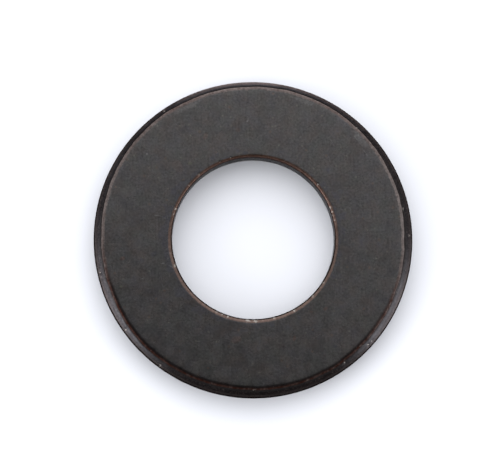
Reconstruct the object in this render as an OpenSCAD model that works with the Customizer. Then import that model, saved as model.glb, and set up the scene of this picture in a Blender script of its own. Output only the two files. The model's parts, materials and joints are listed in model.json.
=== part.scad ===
// Flat washer for a 10 mm bolt, blanked from steel strip.
// Origin: centre of the hole on the underside. +Z runs along the hole, up to the face with the wide rolled rim.
// All lengths are in millimetres and all angles in degrees.

/* [Ring] */
// Outside diameter, across the widest belt of the rim
outer_d = 20.6; // [18:0.1:30]
// Hole diameter, across the straight wall
bore_d = 10.5; // [8:0.1:12.5]
// Thickness between the two flat faces
thickness = 2.0; // [1.8:0.1:2.8]

/* [Outer rim] */
// Distance from the widest belt in to the start of the flat upper face
rim_w = 0.62; // [0.55:0.01:0.7]
// Steepness of the sloping wall under the upper face's edge
slope_angle = 43; // [35:1:50]
// Radius of the shoulder between the upper face and the sloping wall
shoulder_r = 0.25; // [0.1:0.01:0.4]
// Radius of the bend between the sloping wall and the upright belt
belt_r = 0.3; // [0.1:0.02:0.4]
// Height of the belt's lower edge above the underside
belt_z = 0.95; // [0.8:0.05:1]
// How far the torn wall under the belt leans in from upright
rim_lean = 6; // [2:1:10]
// Radius of the rim's lower edge
rim_under_r = 0.3; // [0.1:0.05:0.4]

/* [Bore] */
// Radius of the rolled edge where the hole meets the upper face
roll_r = 0.24; // [0.1:0.01:0.4]
// Height of the straight wall's lower end above the underside
bore_wall_z = 0.5; // [0.4:0.05:0.9]
// How far the torn wall under the straight one leans out from upright
bore_lean = 6; // [2:1:12]
// Radius of the hole's lower edge
bore_under_r = 0.2; // [0.1:0.05:0.3]

/* [Hidden] */
outer_r = outer_d / 2;
bore_r = bore_d / 2;

// Width of the rim that each of the two upper bends takes, and what the straight slope between them spans
shoulder_w = shoulder_r * sin(slope_angle);
belt_bend_w = belt_r * (1 - sin(slope_angle));
slope_w = rim_w - shoulder_w - belt_bend_w;

// Heights, from the upper face down, at which the straight slope starts, and where the belt starts
slope_top_z = thickness - shoulder_r * (1 - cos(slope_angle));
slope_end_z = slope_top_z - slope_w * tan(slope_angle);

// Sharp corners of the section, before its bends are rounded
face_corner = [outer_r - rim_w + shoulder_r * tan(slope_angle / 2), thickness];
belt_top_corner = [outer_r, slope_end_z - belt_bend_w * tan(slope_angle)];
belt_low_corner = [outer_r, belt_z];
rim_foot_corner = [outer_r - belt_z * tan(rim_lean), 0];
bore_foot_corner = [bore_r + bore_wall_z * tan(bore_lean), 0];
bore_wall_corner = [bore_r, bore_wall_z];
bore_top_corner = [bore_r, thickness];

// How far each bend's circle stands past its two sides, so that it crosses them instead of grazing them
bend_overlap = 0.0005;
// Number of segments that stand for a full circle
$fn = 180;

// The only piece of the washer
// Piece to draw

// Unit vector that points from one point to another
function direction(from, to) = (to - from) / norm(to - from);

// What rounding takes off a convex corner whose two sides run on to the points before and after it
module corner_trim(before, corner, after, r) {
    side_a = direction(corner, before);
    side_b = direction(corner, after);
    inward = direction([0, 0], side_a + side_b);
    half_angle = acos(side_a * inward);
    reach = r / tan(half_angle);
    centre = corner + inward * (r / sin(half_angle) - bend_overlap);
    difference() {
        polygon([corner - inward * r, corner + side_a * reach, centre, corner + side_b * reach]);
        translate(centre) circle(r);
    }
}

// Half section of the ring, with radius along X and height along Y
module ring_section() {
    difference() {
        polygon([
            bore_foot_corner,
            rim_foot_corner,
            belt_low_corner,
            belt_top_corner,
            face_corner,
            bore_top_corner,
            bore_wall_corner
        ]);
        corner_trim(belt_top_corner, face_corner, bore_top_corner, shoulder_r);
        corner_trim(belt_low_corner, belt_top_corner, face_corner, belt_r);
        corner_trim(bore_foot_corner, rim_foot_corner, belt_low_corner, rim_under_r);
        corner_trim(face_corner, bore_top_corner, bore_wall_corner, roll_r);
        corner_trim(bore_wall_corner, bore_foot_corner, rim_foot_corner, bore_under_r);
    }
}

module washer() {
    color([0.2, 0.19, 0.19])
        rotate_extrude() ring_section();
}

washer();
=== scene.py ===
"""A flat steel washer: the visible ring, its worn black oxide surface, and the studio that it lies in."""
import json
import math
from functools import partial

import bpy
import numpy as np
from mathutils import Matrix, Vector, noise


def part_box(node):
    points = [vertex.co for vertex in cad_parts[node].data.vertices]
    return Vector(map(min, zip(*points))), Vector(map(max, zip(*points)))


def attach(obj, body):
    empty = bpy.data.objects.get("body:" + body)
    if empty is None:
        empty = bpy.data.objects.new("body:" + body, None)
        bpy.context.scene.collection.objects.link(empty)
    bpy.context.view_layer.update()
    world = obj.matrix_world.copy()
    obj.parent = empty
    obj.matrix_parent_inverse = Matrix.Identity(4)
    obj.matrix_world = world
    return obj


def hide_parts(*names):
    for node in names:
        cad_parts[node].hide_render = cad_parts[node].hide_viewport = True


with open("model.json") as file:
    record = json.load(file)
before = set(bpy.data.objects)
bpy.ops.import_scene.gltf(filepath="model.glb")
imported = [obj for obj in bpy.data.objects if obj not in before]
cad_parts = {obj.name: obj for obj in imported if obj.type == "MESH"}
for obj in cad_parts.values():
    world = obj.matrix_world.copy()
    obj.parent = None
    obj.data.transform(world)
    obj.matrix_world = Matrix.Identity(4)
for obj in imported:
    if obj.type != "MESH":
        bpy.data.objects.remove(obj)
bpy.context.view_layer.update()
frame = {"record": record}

MM = 0.001
NODE = "washer"

# Sizes of the ring in millimetres, from the frame
LOW, HIGH = (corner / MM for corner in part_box(NODE))
OUTER_R = max(HIGH.x, HIGH.y, -LOW.x, -LOW.y)
THICKNESS = HIGH.z - LOW.z
BORE = next(mount for mount in frame["record"]["mounts"] if mount["name"] == "bore")
BORE_R = BORE["dims"]["r_mm"]

# Shape of the outer rim from the upper face down, in millimetres and radians: the width that is rolled over,
# the slope, its upper and lower bend, the height of the widest place, and the torn wall's lean and lower edge
RIM_W = 0.62
SLOPE_ANGLE = math.radians(43)
SHOULDER_R = 0.25
BELT_BEND_R = 0.3
BELT_Z = 0.95
RIM_LEAN = math.radians(6)
RIM_UNDER_R = 0.3

# Shape of the bore in millimetres and radians: the radius of its rolled upper edge, the height at which the
# straight wall ends, and the lean and the lower edge of the torn wall below it
ROLL_R = 0.24
BORE_WALL_Z = 0.5
BORE_LEAN = math.radians(6)
BORE_UNDER_R = 0.2

# Columns of faces round the ring
AROUND = 900

# How the rim varies round the ring: angle in degrees, how much wider than RIM_W it is rolled over (mm), and
# how light its slope, its crest and its outermost edge are painted, from 0 to 1: worn oxide together with
# painted reflections of the lights at the back and low on both sides, and painted shade round the front
RIM_WEAR_AND_LIGHT = [
    (0, 0.13, 0.25, 1.00, 0.07),
    (15, 0.03, 0.22, 0.95, 0.06),
    (30, 0.02, 0.20, 0.75, 0.06),
    (45, -0.01, 0.22, 0.62, 0.12),
    (60, -0.045, 0.42, 0.50, 0.26),
    (75, -0.055, 0.65, 0.60, 0.55),
    (90, -0.055, 0.75, 0.65, 1.00),
    (105, -0.05, 0.75, 0.68, 0.65),
    (120, -0.07, 0.55, 0.45, 0.18),
    (130, -0.085, 0.45, 0.68, 0.14),
    (140, -0.075, 0.35, 0.52, 0.10),
    (150, -0.06, 0.38, 0.68, 0.10),
    (160, -0.025, 0.25, 0.80, 0.08),
    (170, 0.005, 0.20, 0.72, 0.06),
    (180, 0.06, 0.40, 0.68, 0.05),
    (190, 0.07, 0.50, 0.37, 0.05),
    (200, 0.065, 0.55, 0.12, 0.05),
    (210, 0.03, 0.72, 0.06, 0.05),
    (220, -0.015, 0.95, 0.03, 0.05),
    (230, -0.025, 0.58, 0.04, 0.05),
    (240, 0.0, 0.12, 0.06, 0.02),
    (250, 0.025, 0.10, 0.06, 0.00),
    (262, 0.04, 0.04, 0.04, 0.00),
    (272, 0.03, 0.04, 0.08, 0.00),
    (285, 0.02, 0.03, 0.08, 0.00),
    (300, -0.02, 0.05, 0.12, 0.00),
    (310, 0.02, 0.40, 0.10, 0.03),
    (320, 0.035, 1.00, 0.18, 0.06),
    (330, 0.05, 0.62, 0.25, 0.07),
    (340, 0.07, 0.66, 0.35, 0.07),
    (350, 0.08, 0.55, 0.62, 0.07),
]
# How the edge of the bore varies: angle in degrees, how bright its roll is painted (worn copper with painted
# shade where it faces the front and a painted highlight where it faces the back), how much of the dark lip
# below the roll is painted (dark oxide and painted shade along the front of the bore), from 0 to 1, and how
# much smaller than ROLL_R the roll is (mm)
ROLL_WEAR_AND_LIGHT = [
    (0, 0.65, 0.7, 0.06),
    (20, 0.60, 0.1, 0.06),
    (45, 0.35, 0.0, 0.07),
    (60, 0.30, 0.0, 0.09),
    (90, 0.0, 0.0, 0.12),
    (110, 0.12, 0.0, 0.11),
    (125, 0.32, 0.0, 0.09),
    (150, 0.40, 0.2, 0.07),
    (170, 0.55, 0.6, 0.04),
    (190, 0.90, 0.9, 0.0),
    (250, 1.00, 1.0, 0.0),
    (290, 1.00, 1.0, 0.0),
    (340, 0.85, 1.0, 0.03),
]
# How strongly the upper face is blued round the bore: angle in degrees, and strength from 0 to 1
HALO = [
    (0, 0.9),
    (40, 0.7),
    (70, 0.3),
    (100, 0.5),
    (130, 0.9),
    (180, 1.0),
    (230, 0.9),
    (270, 0.3),
    (330, 0.5),
]
# Distance from the bore's wall at which the bluing ends (mm)
HALO_REACH = 1.3

# Dents with bare metal in them: angle in degrees, radius where the dent lies, half width, depth (mm)
RIM_NICKS = [
    (1, 10.08, 0.10, 0.030),
    (5, 10.26, 0.09, 0.040),
    (11, 9.88, 0.11, 0.025),
    (47, 9.84, 0.10, 0.015),
    (125, 10.10, 0.12, 0.030),
    (147, 10.22, 0.08, 0.025),
    (193, 10.10, 0.10, 0.030),
    (195, 10.05, 0.07, 0.020),
    (216, 10.10, 0.09, 0.030),
    (234, 10.14, 0.10, 0.035),
    (270, 9.80, 0.09, 0.030),
    (306, 9.94, 0.09, 0.025),
    (317, 10.06, 0.10, 0.020),
    (319, 10.10, 0.08, 0.020),
]
BORE_NICKS = [
    (12, 5.36, 0.08, 0.020),
    (16, 5.27, 0.14, 0.010),
    (18, 5.33, 0.11, 0.030),
    (21, 5.27, 0.16, 0.010),
    (22, 5.34, 0.10, 0.035),
    (26, 5.28, 0.14, 0.010),
    (31, 5.27, 0.13, 0.010),
    (37, 5.28, 0.12, 0.010),
    (40, 5.40, 0.09, 0.020),
    (43, 5.27, 0.13, 0.010),
    (52, 5.28, 0.07, 0.020),
    (106, 5.38, 0.07, 0.020),
    (114, 5.36, 0.09, 0.025),
    (131, 5.36, 0.10, 0.035),
    (141, 5.36, 0.08, 0.020),
    (160, 5.34, 0.12, 0.025),
    (164, 5.35, 0.08, 0.025),
    (191, 5.42, 0.07, 0.020),
    (200, 5.36, 0.16, 0.015),
    (244, 5.35, 0.12, 0.025),
    (248, 5.34, 0.10, 0.020),
    (252, 5.36, 0.12, 0.025),
    (266, 5.35, 0.22, 0.015),
    (271, 5.36, 0.20, 0.015),
    (284, 5.35, 0.12, 0.020),
    (299, 5.36, 0.13, 0.025),
    (315, 5.36, 0.12, 0.020),
    (327, 5.35, 0.11, 0.030),
]


# ---------------------------------------------------------------- section of the ring

def arc(centre, radius, start, end, steps):
    """Points on a circle, from one angle to another in degrees."""
    angles = np.radians(np.linspace(start, end, steps + 1))
    return [(centre[0] + radius * math.cos(angle), centre[1] + radius * math.sin(angle)) for angle in angles]


def line(start, end, steps):
    """Points between two places, without the ends."""
    share = np.linspace(0, 1, steps + 1)[1:-1, None]
    return [tuple(point) for point in np.array(start) * (1 - share) + np.array(end) * share]


def face_run(inner, outer):
    """Points across the upper face, closer together near its two edges."""
    near = np.array([0.03, 0.06, 0.10, 0.15, 0.22, 0.32, 0.45])
    middle = np.linspace(inner + near[-1], outer - near[-1], 16)[1:-1]
    return [(radius, THICKNESS) for radius in np.concatenate([inner + near, middle, outer - near[::-1]])]


def rim_run():
    """The rim's zones from the upper face down to the underside, each with its points."""
    slope = math.degrees(SLOPE_ANGLE)
    shoulder = arc((OUTER_R - RIM_W, THICKNESS - SHOULDER_R), SHOULDER_R, 90, 90 - slope, 15)
    slope_top = shoulder[-1]
    bend_w = BELT_BEND_R * (1 - math.sin(SLOPE_ANGLE))
    slope_low = (OUTER_R - bend_w, slope_top[1] - (OUTER_R - bend_w - slope_top[0]) * math.tan(SLOPE_ANGLE))
    bend_centre = (OUTER_R - BELT_BEND_R, slope_low[1] - BELT_BEND_R * math.cos(SLOPE_ANGLE))
    bend = arc(bend_centre, BELT_BEND_R, 90 - slope, 0, 5)
    widest = (OUTER_R, BELT_Z)
    foot_x = OUTER_R - (BELT_Z - RIM_UNDER_R) * math.tan(RIM_LEAN) - RIM_UNDER_R
    foot = arc((foot_x, RIM_UNDER_R), RIM_UNDER_R, -math.degrees(RIM_LEAN), -90, 6)
    return {
        "shoulder": shoulder,
        "slope": line(slope_top, slope_low, 6),
        "belt": bend + line(bend[-1], widest, 3),
        "torn": [widest] + line(widest, foot[0], 8),
        "foot": foot,
    }


def bore_run():
    """The bore's zones from the underside up to the upper face, each with its points."""
    foot_x = BORE_R + BORE_WALL_Z * math.tan(BORE_LEAN) + BORE_UNDER_R
    foot = arc((foot_x, BORE_UNDER_R), BORE_UNDER_R, 270, 180 + math.degrees(BORE_LEAN), 4)
    wall_end = (BORE_R, BORE_WALL_Z)
    roll = arc((BORE_R + ROLL_R, THICKNESS - ROLL_R), ROLL_R, 180, 90, 11)
    return {
        "foot": foot,
        "torn": line(foot[-1], wall_end, 6),
        "bore": [wall_end] + line(wall_end, roll[0], 5),
        "roll": roll,
    }


def section():
    """The ring's section as a closed run of (radius, height), each with the zone that it belongs to."""
    rim, bore = rim_run(), bore_run()
    under = {"under": line(rim["foot"][-1], bore["foot"][0], 9)}
    face = {"face": face_run(bore["roll"][-1][0], rim["shoulder"][0][0])}
    points, zones = [], []
    for run in (rim, under, bore, face):
        for zone, stretch in run.items():
            points += stretch
            zones += [zone] * len(stretch)
    return np.array(points), np.array(zones)


def outward(points):
    """Unit normals of the closed section, pointing out of the steel."""
    along = np.roll(points, -1, 0) - np.roll(points, 1, 0)
    normal = np.stack([-along[:, 1], along[:, 0]], 1)
    return normal / np.linalg.norm(normal, axis=1, keepdims=True)


# ---------------------------------------------------------------- wear and unevenness of the ring

# How the rim's width wanders besides what RIM_WEAR_AND_LIGHT says: length of a step and range (mm)
RIM_WANDER = [
    (1.3, 0.05),
    (0.35, 0.02),
]
# Width of the upper face that stretches where the edge of the rim or of the bore moves (mm)
FACE_GIVE = 1.2
# Radius at which the slope stays where it is when the edge of the rim moves
SLOPE_FOOT_R = OUTER_R - 0.1
# How far out a dent fades, as a share of its half width, and how bare it is in the middle, from 0 to 1
DENT_SPREAD = 0.8
DENT_BARE = 0.85
# Width of the upper face that sags towards the crest (mm)
BRINK_WIDTH = 0.35
# How deep each kind of unevenness is (mm)
FLAT_WAVES = 0.004
EDGE_WAVES = 0.010
EDGE_RIPPLES = 0.006
TORN_STREAKS = 0.018
TORN_PITS = 0.022
CUT_STREAKS = 0.001
SEAM_DEPTH = 0.008
BRINK_DEPTH = 0.008


def field(places, size, depth=2):
    """Smooth noise from 0 to 1 at each place, with features about as wide as size."""
    places = [Vector(place) / size for place in places]
    values = [noise.fractal(place, 0.9, 2.0, depth, noise_basis="PERLIN_ORIGINAL") for place in places]
    return np.clip(0.5 + 0.6 * np.array(values), 0, 1)


def zone_weight(zones, wanted, passes=1):
    """1 on the section's points in the wanted zones and 0 elsewhere, softened by averaging passes."""
    weight = np.isin(zones, wanted).astype(float)
    for _ in range(passes):
        weight = (np.roll(weight, 1) + 2 * weight + np.roll(weight, -1)) / 4
    return weight


def along_zone(zones, wanted, shares, weights):
    """A weight that varies along one zone, from its first point (share 0) to its last (share 1)."""
    inside = np.flatnonzero(zones == wanted)
    weight = np.zeros(len(zones))
    weight[inside] = np.interp(np.linspace(0, 1, len(inside)), shares, weights)
    return weight


def finishes(zones):
    """Where along the section each kind of surface lies, from 0 to 1.

    The crest is the worn edge of the upper face, with a hem of painted shade inside it and a groove under it
    whose seam is painted with shade. The brim is the outermost belt of the rim. The lip is the lower part of
    the bore's roll.
    """
    part = partial(along_zone, zones)
    return {
        "crest": part("shoulder", (0, 0.2, 0.9, 1), (0.7, 1, 1, 0.5)) + part("face", (0.88, 1), (0, 0.7)),
        "hem_shade": part("face", (0.88, 0.95, 1), (0, 1, 1)) + part("shoulder", (0, 0.15, 0.35), (1, 1, 0)),
        "shaded_seam": part("shoulder", (0.85, 1), (0, 0.9)) + part("slope", (0, 0.1), (0.5, 0)),
        "slope": zone_weight(zones, ["slope"]),
        "brim": zone_weight(zones, ["belt"]) + part("slope", (0.6, 0.9, 1), (0, 0.8, 0)),
        "roll": part("roll", (0.3, 0.5), (0, 1)) + part("face", (0, 0.04), (0.5, 0)),
        "lip": part("roll", (0, 0.45, 0.65), (1, 1, 0)),
        "wall": zone_weight(zones, ["bore"]),
        "torn": zone_weight(zones, ["torn", "foot"]),
    }


def round_ring(rows, column, angle):
    """A column of a table of angles in degrees, read off at each angle in radians."""
    turns, values = [row[0] for row in rows], [row[column] for row in rows]
    return np.interp(np.degrees(angle), turns, values, period=360)


def wander(turn, size, amount):
    """A value for each place that wanders by up to half the amount either way, with steps of about a size."""
    return amount * (field(np.pad(turn * OUTER_R, ((0, 0), (0, 1))), size) - 0.5)


def roll_over(points, zones):
    """How much each point of the section moves with the edge of the rolled-over rim."""
    edge = OUTER_R - RIM_W
    slope = (zones == "slope") * np.interp(points[:, 0], (edge, SLOPE_FOOT_R), (1, 0))
    face = (zones == "face") * np.interp(points[:, 0], (edge - FACE_GIVE, edge), (0, 1))
    return (zones == "shoulder") + slope + face


def tighten(points, zones):
    """How far in and how far up each point of the section moves where the bore's roll is smaller."""
    roll, edge = zones == "roll", BORE_R + ROLL_R
    face = (zones == "face") * np.interp(points[:, 0], (edge, edge + FACE_GIVE), (1, 0))
    return roll * (points[:, 0] - BORE_R) / ROLL_R + face, roll * (THICKNESS - points[:, 1]) / ROLL_R


def nick_masks(places, points, zones, nicks):
    """How deep each place is dented, in millimetres, and how bare it is, from 0 to 1."""
    top = np.isin(zones, ["shoulder", "slope", "roll", "face"])
    order = np.argsort(points[top, 0])
    depth, bare = np.zeros(len(places)), np.zeros(len(places))
    for angle, radius, width, sunk in nicks:
        height = np.interp(radius, points[top, 0][order], points[top, 1][order])
        turn = math.radians(angle)
        centre = np.array([radius * math.cos(turn), radius * math.sin(turn), height])
        near = np.exp(-((places - centre) ** 2).sum(1) / (DENT_SPREAD * width) ** 2)
        depth = np.maximum(depth, sunk * near)
        bare = np.maximum(bare, DENT_BARE * near)
    return depth, bare


def tiled(weight):
    """A weight along the section, repeated for every column of the ring."""
    return np.tile(weight, AROUND)


def ring_shape(points, zones, angle, turn):
    """The radius and height of every point, with the rim and the bore's edge varying round the ring."""
    wider = round_ring(RIM_WEAR_AND_LIGHT, 1, angle)
    for size, amount in RIM_WANDER:
        wider = wider + wander(turn, size, amount)
    smaller = round_ring(ROLL_WEAR_AND_LIGHT, 3, angle)
    moved_in, moved_up = tighten(points, zones)
    radius = tiled(points[:, 0]) - wider * tiled(roll_over(points, zones)) - smaller * tiled(moved_in)
    return radius, tiled(points[:, 1]) + smaller * tiled(moved_up)


def ring_masks(zones, angle, radius):
    """The finish of every point, and the wear with painted light and shade of the ring at its angle, from 0
    to 1.
    """
    masks = {name: tiled(weight) for name, weight in finishes(zones).items()}
    halo = np.interp(radius, (BORE_R + ROLL_R, BORE_R + HALO_REACH), (0.9, 0)) * tiled(zones == "face")
    masks["halo"] = halo * round_ring(HALO, 1, angle)
    # Wear together with painted light and shade, by angle round the ring
    masks["slope_wear_and_sheen"] = round_ring(RIM_WEAR_AND_LIGHT, 2, angle)
    masks["crest_wear_and_shade"] = round_ring(RIM_WEAR_AND_LIGHT, 3, angle)
    masks["brim_wear_and_sheen"] = round_ring(RIM_WEAR_AND_LIGHT, 4, angle)
    masks["roll_wear_and_shade"] = round_ring(ROLL_WEAR_AND_LIGHT, 1, angle)
    masks["lip_oxide_and_shade"] = round_ring(ROLL_WEAR_AND_LIGHT, 2, angle)
    return masks


def brink(points, zones):
    """Where the surface sags towards the crest, from 0 to 1."""
    edge = OUTER_R - RIM_W
    face = (zones == "face") * np.interp(points[:, 0], (edge - BRINK_WIDTH, edge), (0, 1)) ** 2
    shoulder = along_zone(zones, "shoulder", (0, 1), (1, 0.6))
    return face + shoulder + along_zone(zones, "slope", (0, 1), (0.6, 0))


def unevenness(points, zones, places, masks):
    """How far every point is sunk below an even surface (mm). A shift of the places gives another noise."""
    flats = tiled(zone_weight(zones, ["face", "under"], 2))
    edges = tiled(zone_weight(zones, ["shoulder", "slope", "roll"], 2))
    cut = tiled(zone_weight(zones, ["belt", "bore"]))
    streaks = field(places * (1, 1, 0.12), 0.22, 3)
    return (FLAT_WAVES * field(places + 80, 2.6) * flats
            + (EDGE_WAVES * field(places, 1.4) + EDGE_RIPPLES * field(places + 20, 0.3)) * edges
            + (TORN_STREAKS * streaks + TORN_PITS * field(places + 40, 0.35, 3)) * masks["torn"]
            + CUT_STREAKS * streaks * cut
            + SEAM_DEPTH * masks["shaded_seam"]
            + BRINK_DEPTH * tiled(brink(points, zones)))


def lathed(name, verts, count):
    """A mesh object of AROUND columns of count points, each column closed and joined to the next."""
    column = np.arange(AROUND)[:, None] * count
    following = (np.arange(AROUND)[:, None] + 1) % AROUND * count
    row = np.arange(count)[None, :]
    above = (row + 1) % count
    corners = [column + row, column + above, following + above, following + row]
    quads = np.stack(corners, -1).reshape(-1, 4)
    mesh = bpy.data.meshes.new(name)
    mesh.from_pydata(verts.tolist(), [], quads.tolist())
    mesh.polygons.foreach_set("use_smooth", [True] * len(quads))
    ring = bpy.data.objects.new(name, mesh)
    bpy.context.scene.collection.objects.link(ring)
    return ring


def build_ring():
    """The lathed mesh of the washer, sunk where it is worn, with its finishes as attributes."""
    points, zones = section()
    angle = np.repeat(np.linspace(0, 2 * math.pi, AROUND, endpoint=False), len(points))
    turn = np.stack([np.cos(angle), np.sin(angle)], 1)
    radius, height = ring_shape(points, zones, angle, turn)
    places = np.column_stack([turn * radius[:, None], height])
    masks = ring_masks(zones, angle, radius)
    dents, masks["bare"] = nick_masks(places, points, zones, RIM_NICKS + BORE_NICKS)

    sunk = unevenness(points, zones, places, masks) + dents
    inward = np.tile(outward(points), (AROUND, 1)) * sunk[:, None]
    radius, height = radius - inward[:, 0], height - inward[:, 1]
    ring = lathed("washer_body", np.column_stack([turn * radius[:, None], height]) * MM, len(points))
    for name, values in masks.items():
        ring.data.attributes.new(name, "FLOAT", "POINT").data.foreach_set("value", values)
    return ring


# ---------------------------------------------------------------- surface

class Nodes:
    """Short calls that add nodes to one node tree and join them."""

    def __init__(self, tree):
        self.tree = tree

    def add(self, kind, inputs=None, **settings):
        """A new node with its settings, and with its inputs fed by name or by number."""
        node = self.tree.nodes.new(kind)
        for name, value in settings.items():
            setattr(node, name, value)
        for name, value in (inputs or {}).items():
            self.feed(node.inputs[name], value)
        return node

    def feed(self, socket, value):
        """Joins another node's output to an input, or gives the input a constant."""
        if isinstance(value, bpy.types.NodeSocket):
            self.tree.links.new(value, socket)
        else:
            socket.default_value = value

    def math(self, operation, *values):
        """The result of one operation on numbers or outputs."""
        return self.add("ShaderNodeMath", dict(enumerate(values)), operation=operation).outputs[0]

    def total(self, *terms):
        """The sum of values, each times its own factor."""
        result = 0.0
        for value, factor in terms:
            result = self.math("MULTIPLY_ADD", value, factor, result)
        return result

    def between(self, value, low, high, result_low=0.0, result_high=1.0):
        """A smooth change from one result to the other while the value goes from low to high."""
        inputs = {
            "Value": value,
            "From Min": low,
            "From Max": high,
            "To Min": result_low,
            "To Max": result_high,
        }
        return self.add("ShaderNodeMapRange", inputs, interpolation_type="SMOOTHSTEP").outputs["Result"]

    def mix(self, share, first, second):
        """Two colours mixed, from the first at a share of 0 to the second at 1."""
        node = self.add("ShaderNodeMix", data_type="RGBA")
        for index, value in ((0, share), (6, first), (7, second)):
            self.feed(node.inputs[index], value)
        return node.outputs[2]

    def scaled(self, values, factor):
        """A place or a colour, with all three of its values multiplied by a factor."""
        inputs = {"Vector": values, "Scale": factor}
        return self.add("ShaderNodeVectorMath", inputs, operation="SCALE").outputs["Vector"]

    def turned(self, place, degrees, scale):
        """Places stretched and then turned about Z."""
        inputs = {"Vector": place, "Rotation": (0, 0, math.radians(degrees)), "Scale": scale}
        return self.add("ShaderNodeMapping", inputs, vector_type="POINT").outputs["Vector"]

    def noise(self, place, per_mm, detail, roughness):
        """Smooth noise from 0 to 1, with about so many features in a millimetre."""
        inputs = {"Vector": place, "Scale": per_mm, "Detail": detail, "Roughness": roughness}
        return self.add("ShaderNodeTexNoise", inputs).outputs["Fac"]

    def centred(self, noise):
        """Noise moved to lie round zero."""
        return self.math("SUBTRACT", noise, 0.5)

    def mask(self, name):
        """One of the finishes that the mesh carries at its points."""
        return self.add("ShaderNodeAttribute", attribute_name=name).outputs["Fac"]

    def broken(self, mask, noise, amount):
        """A mask whose edge is made ragged by noise centred on zero."""
        return self.between(self.math("MULTIPLY_ADD", noise, amount, mask), 0.4, 0.75)

    def spot(self, place, x, y, length, width, degrees):
        """1 in the middle of an oval on the upper face, falling to 0 a little outside it."""
        inputs = {
            "Vector": place,
            "Location": (x, y, THICKNESS),
            "Rotation": (0, 0, math.radians(degrees)),
            "Scale": (length / 2, width / 2, 1),
        }
        inside = self.add("ShaderNodeMapping", inputs, vector_type="TEXTURE").outputs["Vector"]
        reach = self.add("ShaderNodeVectorMath", {"Vector": inside}, operation="LENGTH").outputs["Value"]
        return self.between(reach, 1.3, 0.2)

    def specks(self, place, per_mm, size):
        """Round spots on the flat faces, one in about every fourth cell of a pattern."""
        cells = self.add("ShaderNodeTexVoronoi", {"Vector": place, "Scale": per_mm}, voronoi_dimensions="2D")
        chosen = self.math("GREATER_THAN", cells.outputs["Color"], 0.72)
        return self.math("MULTIPLY", self.between(cells.outputs["Distance"], size, size * 0.4), chosen)


# Colours of the oxide and of the steel where it is worn through, and of the painted shade and painted
# reflections on the rim and the bore's edge
OXIDE_COOL = (0.0435, 0.0415, 0.0427, 1)
OXIDE_WARM = (0.0470, 0.0415, 0.0390, 1)
OXIDE_GREEN = (0.0436, 0.0440, 0.0412, 1)
# Crest: dark red-brown painted shade round the front, and worn brown that is painted lighter where it faces
# the lights
CREST_DARK_SHADE = (0.0190, 0.0075, 0.0052, 1)
CREST_BROWN = (0.0890, 0.0760, 0.0710, 1)
SLOPE_DARK = (0.0050, 0.0042, 0.0043, 1)
SLOPE_FLECK = (0.0500, 0.0330, 0.0260, 1)
# Grey of the slope: worn oxide with a painted reflection of the lights at the back and low on both sides
SLOPE_SHEEN_GREY = (0.0375, 0.0360, 0.0380, 1)
# Outermost belt: dark painted shade, and a pink worn edge that carries a painted reflection of the bright
# horizon at the back
BRIM_DARK_SHADE = (0.0060, 0.0035, 0.0030, 1)
BRIM_PINK_SHEEN = (0.1900, 0.1450, 0.1350, 1)
# Bore's roll: dark painted shade where it faces the front, and worn copper that is painted lighter where it
# faces the back
COPPER_DARK_SHADE = (0.0320, 0.0175, 0.0122, 1)
COPPER = (0.0720, 0.0510, 0.0430, 1)
BARE_STEEL = (0.1600, 0.1450, 0.1300, 1)
WALL_GREY = (0.1900, 0.1840, 0.1850, 1)
TORN_DARK = (0.0130, 0.0120, 0.0115, 1)
TORN_GREY = (0.0480, 0.0450, 0.0430, 1)
# Lip below the bore's roll: copper painted lighter at the back of the bore, and dark brown painted shade
# along its front
LIP_COPPER = (0.0850, 0.0520, 0.0420, 1)
LIP_BROWN_SHADE = (0.0120, 0.0070, 0.0055, 1)
# Painted shade in the seam under the crest and in the dark hem at the edge of the upper face
PAINTED_SHADE = (0.0060, 0.0050, 0.0050, 1)
LIGHT_SPECK = (0.0750, 0.0730, 0.0620, 1)
RUST_SPECK = (0.0750, 0.0520, 0.0380, 1)
RUST_MARK = (0.0700, 0.0440, 0.0360, 1)
OLIVE_MARK = (0.0660, 0.0660, 0.0490, 1)
PALE_MARK = (0.0900, 0.0870, 0.0850, 1)
DARK_MARK = (0.0300, 0.0300, 0.0340, 1)
HALO_BLUE = (0.0330, 0.0330, 0.0400, 1)
# Tint of the steel's shine at a glancing angle
GLANCING_GREY = (0.3, 0.3, 0.3, 1)
# Height of the grain and of the drawing lines (mm)
RELIEF = 0.003

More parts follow.
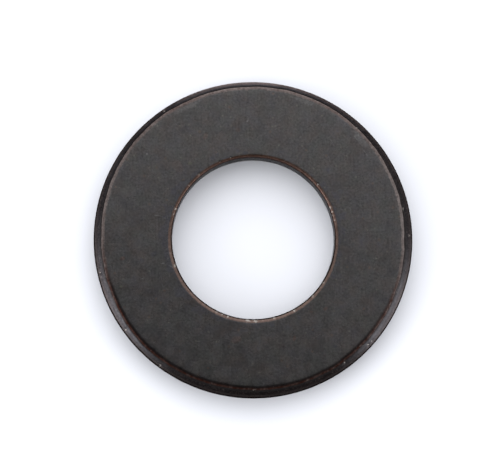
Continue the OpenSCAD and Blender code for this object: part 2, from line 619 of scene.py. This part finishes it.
# Marks on the upper face: x, y, length and width in mm, direction in degrees, colour and strength
MARKS = [
    (-8.4, -1.4, 0.5, 0.35, 20, RUST_MARK, 0.44),
    (-3.1, 6.6, 0.7, 0.4, 70, RUST_MARK, 0.25),
    (-1.0, 7.0, 0.5, 0.4, 0, RUST_MARK, 0.22),
    (-4.9, 4.6, 1.3, 0.9, 130, RUST_MARK, 0.14),
    (-1.1, -6.6, 1.0, 0.6, 20, RUST_MARK, 0.25),
    (-2.9, -8.4, 0.22, 0.16, 0, RUST_MARK, 0.50),
    (4.6, -4.6, 0.45, 0.3, 40, RUST_MARK, 0.44),
    (3.7, -4.8, 0.3, 0.2, 0, RUST_MARK, 0.33),
    (2.6, -6.5, 0.5, 0.3, 80, RUST_MARK, 0.39),
    (-4.1, 4.8, 0.4, 0.3, 0, OLIVE_MARK, 0.39),
    (-8.5, -3.2, 0.22, 0.18, 0, OLIVE_MARK, 0.50),
    (-6.2, 1.4, 0.6, 0.07, 0, PALE_MARK, 0.8),
    (-5.8, -1.7, 0.3, 0.09, 10, PALE_MARK, 0.9),
    (-5.3, -1.9, 0.5, 0.05, 150, PALE_MARK, 0.6),
    (-3.5, -6.7, 0.35, 0.07, 5, PALE_MARK, 0.8),
    (-2.2, -6.7, 0.3, 0.06, 70, PALE_MARK, 0.6),
    (-6.9, 5.4, 0.2, 0.2, 0, PALE_MARK, 0.6),
    (-0.4, 7.6, 0.25, 0.15, 60, PALE_MARK, 0.7),
    (-7.1, -2.7, 0.14, 0.12, 0, PALE_MARK, 0.8),
    (-5.4, -2.5, 0.22, 0.08, 70, PALE_MARK, 0.7),
    (6.95, 6.40, 2.0, 0.5, 132, PALE_MARK, 0.30),
    (6.75, 6.35, 1.3, 0.08, 128, PALE_MARK, 0.6),
    (7.2, 5.6, 1.0, 0.07, 127, PALE_MARK, 0.5),
    (3.3, 8.9, 2.2, 0.35, 160, PALE_MARK, 0.25),
    (-4.3, 8.45, 2.4, 0.4, 27, PALE_MARK, 0.25),
    (-6.4, -1.1, 0.6, 0.45, 30, DARK_MARK, 0.6),
    (-6.7, -8.2, 0.4, 0.3, 0, DARK_MARK, 0.5),
    (5.2, -7.0, 0.4, 0.3, 0, DARK_MARK, 0.6),
    (-4.4, 7.0, 1.0, 0.7, 20, DARK_MARK, 0.35),
]


def face_colour(nodes, place, patch, fine_ragged):
    """The oxide of the faces: cool, warm and greenish, with specks, marks and a blued ring round the bore."""
    warm = nodes.between(nodes.noise(place, 1.1, 3.0, 0.6), 0.3, 0.7)
    green = nodes.noise(nodes.turned(place, 90, (1, 1, 1)), 0.9, 4.0, 0.75)
    green = nodes.between(green, 0.35, 0.75, 0.0, 0.8)
    colour = nodes.mix(green, nodes.mix(warm, OXIDE_COOL, OXIDE_WARM), OXIDE_GREEN)
    light = nodes.specks(place, 1.5, 0.12)
    colour = nodes.mix(nodes.math("MULTIPLY", light, 0.6), colour, LIGHT_SPECK)
    rust = nodes.specks(nodes.turned(place, 50, (1, 1, 1)), 1.1, 0.13)
    colour = nodes.mix(nodes.math("MULTIPLY", rust, 0.3), colour, RUST_SPECK)
    halo = nodes.broken(nodes.mask("halo"), nodes.centred(patch), 2.5)
    colour = nodes.mix(nodes.math("MULTIPLY", halo, 0.45), colour, HALO_BLUE)
    for x, y, length, width, degrees, tone, strength in MARKS:
        mark = nodes.broken(nodes.spot(place, x, y, length, width, degrees), fine_ragged, 1.0)
        colour = nodes.mix(nodes.math("MULTIPLY", mark, strength), colour, tone)
    return colour


def wall_colour(nodes, place, colour, ragged, fine_ragged):
    """The rim's slope and outermost belt, with painted reflections and painted shade that vary round the
    ring, the bore's straight wall and the torn walls, laid over a colour.
    """
    # The slope is painted grey round the ring where it reflects the lights, and stays dark oxide with worn
    # flecks round the front: painted reflection and painted shade
    slope_wear_and_sheen = nodes.total((nodes.mask("slope_wear_and_sheen"), 1.0), (fine_ragged, 0.9), (ragged, 0.3))
    flecks = nodes.between(fine_ragged, 0.03, 0.14, 0.0, 0.35)
    slope = nodes.mix(slope_wear_and_sheen, nodes.mix(flecks, SLOPE_DARK, SLOPE_FLECK), SLOPE_SHEEN_GREY)
    scoring = nodes.noise(nodes.turned(place, 0, (1, 1, 0.08)), 9.0, 2.0, 0.6)
    wall = nodes.scaled(WALL_GREY[:3], nodes.total((scoring, 1.6), (1.0, 0.2)))
    tearing = nodes.noise(nodes.turned(place, 0, (1, 1, 0.15)), 4.0, 3.0, 0.65)
    torn = nodes.mix(nodes.between(tearing, 0.45, 0.68), TORN_DARK, TORN_GREY)
    # The outermost belt is painted with a reflection at the back and with shade round the front, over a worn
    # edge
    brim_wear_and_sheen = nodes.total((nodes.mask("brim_wear_and_sheen"), 1.0), (fine_ragged, 0.2))
    brim = nodes.mix(brim_wear_and_sheen, BRIM_DARK_SHADE, BRIM_PINK_SHEEN)
    for name, finish in (("slope", slope), ("wall", wall), ("torn", torn), ("brim", brim)):
        colour = nodes.mix(nodes.mask(name), colour, finish)
    return colour


def edge_colour(nodes, colour, crest, roll, ragged, fine_ragged):
    """The rim's crest with its hem and seam, and the bore's roll with its lip, laid over a colour, with
    painted highlights and painted shade that vary round the ring.
    """
    # The crest's worn brown is painted light where it faces the lights and painted dark round the front
    crest_light_and_wear = nodes.mask("crest_wear_and_shade")
    crest_wear_and_shade = nodes.total((crest_light_and_wear, 1.0), (fine_ragged, 0.6), (ragged, 1.1))
    colour = nodes.mix(crest, colour, nodes.mix(crest_wear_and_shade, CREST_DARK_SHADE, CREST_BROWN))
    # Painted shade: a dark hem at the edge of the upper face, strongest round the front where the crest is
    # darkest
    hem_shade = nodes.math("MULTIPLY", nodes.mask("hem_shade"), nodes.between(crest_light_and_wear, 0.4, 0.1, 0.0, 0.75))
    colour = nodes.mix(hem_shade, colour, PAINTED_SHADE)
    # The roll's copper is painted dark where it faces the front and light where it faces the back
    roll_wear_and_shade = nodes.total((nodes.mask("roll_wear_and_shade"), 1.0), (fine_ragged, 0.8), (ragged, 1.0))
    colour = nodes.mix(roll, colour, nodes.mix(roll_wear_and_shade, COPPER_DARK_SHADE, COPPER))
    # The lip is painted light at the back of the bore and dark with shade along its front
    lip = nodes.mix(nodes.mask("lip_oxide_and_shade"), LIP_COPPER, LIP_BROWN_SHADE)
    colour = nodes.mix(nodes.mask("lip"), colour, lip)
    # Painted shade in the seam under the crest
    return nodes.mix(nodes.mask("shaded_seam"), colour, PAINTED_SHADE)


def oxide():
    """Black oxide on steel: mottled on the faces, worn brown on the edges, bare where it is nicked, with
    painted highlights and painted shade on the rim and the bore's edge.
    """
    material = bpy.data.materials.new("black_oxide")
    material.use_nodes = True
    shader = material.node_tree.nodes["Principled BSDF"]
    nodes = Nodes(material.node_tree)
    place = nodes.scaled(nodes.add("ShaderNodeTexCoord").outputs["Object"], 1 / MM)
    cloud = nodes.noise(place, 0.45, 3.0, 0.55)
    patch = nodes.noise(place, 1.7, 2.0, 0.5)
    grain = nodes.noise(place, 7.0, 3.0, 0.7)
    drawn = nodes.noise(nodes.turned(place, 0, (9.0, 1.2, 9.0)), 1.0, 2.0, 0.5)
    ragged = nodes.centred(nodes.noise(place, 4.0, 3.0, 0.65))
    fine_ragged = nodes.centred(nodes.noise(place, 13.0, 2.0, 0.6))
    crest = nodes.broken(nodes.mask("crest"), ragged, 1.3)
    roll = nodes.broken(nodes.mask("roll"), ragged, 1.3)

    colour = face_colour(nodes, place, patch, fine_ragged)
    colour = wall_colour(nodes, place, colour, ragged, fine_ragged)
    colour = edge_colour(nodes, colour, crest, roll, ragged, fine_ragged)
    shade = nodes.total((cloud, 0.20), (patch, 0.40), (grain, 1.45), (drawn, 0.36), (1.0, -0.16))
    bare = nodes.broken(nodes.mask("bare"), fine_ragged, 2.2)
    nodes.feed(shader.inputs["Base Color"], nodes.mix(bare, nodes.scaled(colour, shade), BARE_STEEL))

    slope, torn = nodes.mask("slope"), nodes.mask("torn")
    rough = nodes.total((1.0, 0.20), (patch, 0.14), (slope, 0.10), (crest, 0.16), (roll, 0.18), (torn, 0.25))
    nodes.feed(shader.inputs["Roughness"], rough)
    shader.inputs["Metallic"].default_value = 1.0
    shader.inputs["Specular Tint"].default_value = GLANCING_GREY

    relief = nodes.total((grain, 1.0), (drawn, 0.5))
    bump = nodes.add("ShaderNodeBump", {"Height": relief, "Strength": 1.0, "Distance": RELIEF * MM})
    nodes.feed(shader.inputs["Normal"], bump.outputs["Normal"])
    return material


# ---------------------------------------------------------------- studio

# Light from all round: its even strength, what is added at the horizon, and how fast that fades with height
SKY = 0.60
HORIZON = 1.73
HORIZON_HEIGHT = 0.185
SKY_COLOUR = (0.98, 0.99, 1.03, 1)
# Soft lights in it: azimuth anticlockwise from +X and elevation in degrees, sharpness and strength.
# A negative strength is a dark place in the surroundings.
SOFT_LIGHTS = [
    (89, 30, 2.2, 2.93),
    (201, 16, 22.0, 9.0),
    (339, 12, 34.0, 9.0),
    (243, 84, 40.0, -2.15),
]


def unit_vector(azimuth, elevation):
    """The direction at an azimuth, anticlockwise from +X, and an elevation, both in degrees."""
    turn, rise = math.radians(azimuth), math.radians(elevation)
    return math.cos(turn) * math.cos(rise), math.sin(turn) * math.cos(rise), math.sin(rise)


def studio():
    """A smooth sky with no edges in it, brighter at the horizon, at the back and low on both sides."""
    scene = bpy.context.scene
    scene.view_settings.view_transform = "Standard"
    world = bpy.data.worlds.new("studio")
    scene.world = world
    world.use_nodes = True
    background = world.node_tree.nodes["Background"]
    nodes = Nodes(world.node_tree)
    direction = nodes.add("ShaderNodeTexCoord").outputs["Generated"]
    height = nodes.add("ShaderNodeSeparateXYZ", {"Vector": direction}).outputs["Z"]
    low = nodes.math("EXPONENT", nodes.math("DIVIDE", nodes.math("ABSOLUTE", height), -HORIZON_HEIGHT))
    total = nodes.total((1.0, SKY), (low, HORIZON))
    for azimuth, elevation, sharpness, strength in SOFT_LIGHTS:
        inputs = {0: direction, 1: unit_vector(azimuth, elevation)}
        near = nodes.add("ShaderNodeVectorMath", inputs, operation="DOT_PRODUCT").outputs["Value"]
        lobe = nodes.math("EXPONENT", nodes.math("MULTIPLY", nodes.math("SUBTRACT", near, 1.0), sharpness))
        total = nodes.total((total, 1.0), (lobe, strength))
    nodes.feed(background.inputs["Strength"], nodes.math("MAXIMUM", total, 0.0))
    background.inputs["Color"].default_value = SKY_COLOUR


# Half of the floor's side in metres
FLOOR_REACH = 3.0
FLOOR_COLOUR = (0.628, 0.635, 0.654, 1)


def floor():
    """The wide white matt floor that the washer lies on."""
    reach = FLOOR_REACH
    corners = [(-reach, -reach, 0), (reach, -reach, 0), (reach, reach, 0), (-reach, reach, 0)]
    mesh = bpy.data.meshes.new("floor")
    mesh.from_pydata(corners, [], [(0, 1, 2, 3)])
    plane = bpy.data.objects.new("floor", mesh)
    bpy.context.scene.collection.objects.link(plane)
    material = bpy.data.materials.new("floor")
    material.use_nodes = True
    shader = material.node_tree.nodes["Principled BSDF"]
    shader.inputs["Base Color"].default_value = FLOOR_COLOUR
    shader.inputs["Roughness"].default_value = 1.0
    shader.inputs["Specular IOR Level"].default_value = 0.0
    mesh.materials.append(material)


# The camera: degrees from straight down, azimuth of the side that it leans to, distance in metres, focal
# length in mm, and the place that it looks at
CAMERA_TILT = 7.6
CAMERA_SIDE = 259
CAMERA_DISTANCE = 0.11
CAMERA_LENS = 122.1
AIM = Vector((-0.207, 0.369, 1.0)) * MM


def camera():
    """The camera that looks down on the washer, with the +Y side of the ring at the top of its view."""
    data = bpy.data.cameras.new("camera")
    data.lens = CAMERA_LENS
    data.clip_start, data.clip_end = 0.01, 10
    eye = bpy.data.objects.new("camera", data)
    back = Vector(unit_vector(CAMERA_SIDE, 90 - CAMERA_TILT))
    right = Vector((0, 1, 0)).cross(back).normalized()
    eye.location = AIM + back * CAMERA_DISTANCE
    eye.rotation_mode = "QUATERNION"
    eye.rotation_quaternion = Matrix((right, back.cross(right), back)).transposed().to_quaternion()
    bpy.context.scene.collection.objects.link(eye)
    bpy.context.scene.camera = eye


ring = build_ring()
ring.data.materials.append(oxide())
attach(ring, "root")
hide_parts(NODE)
floor()
studio()
camera()
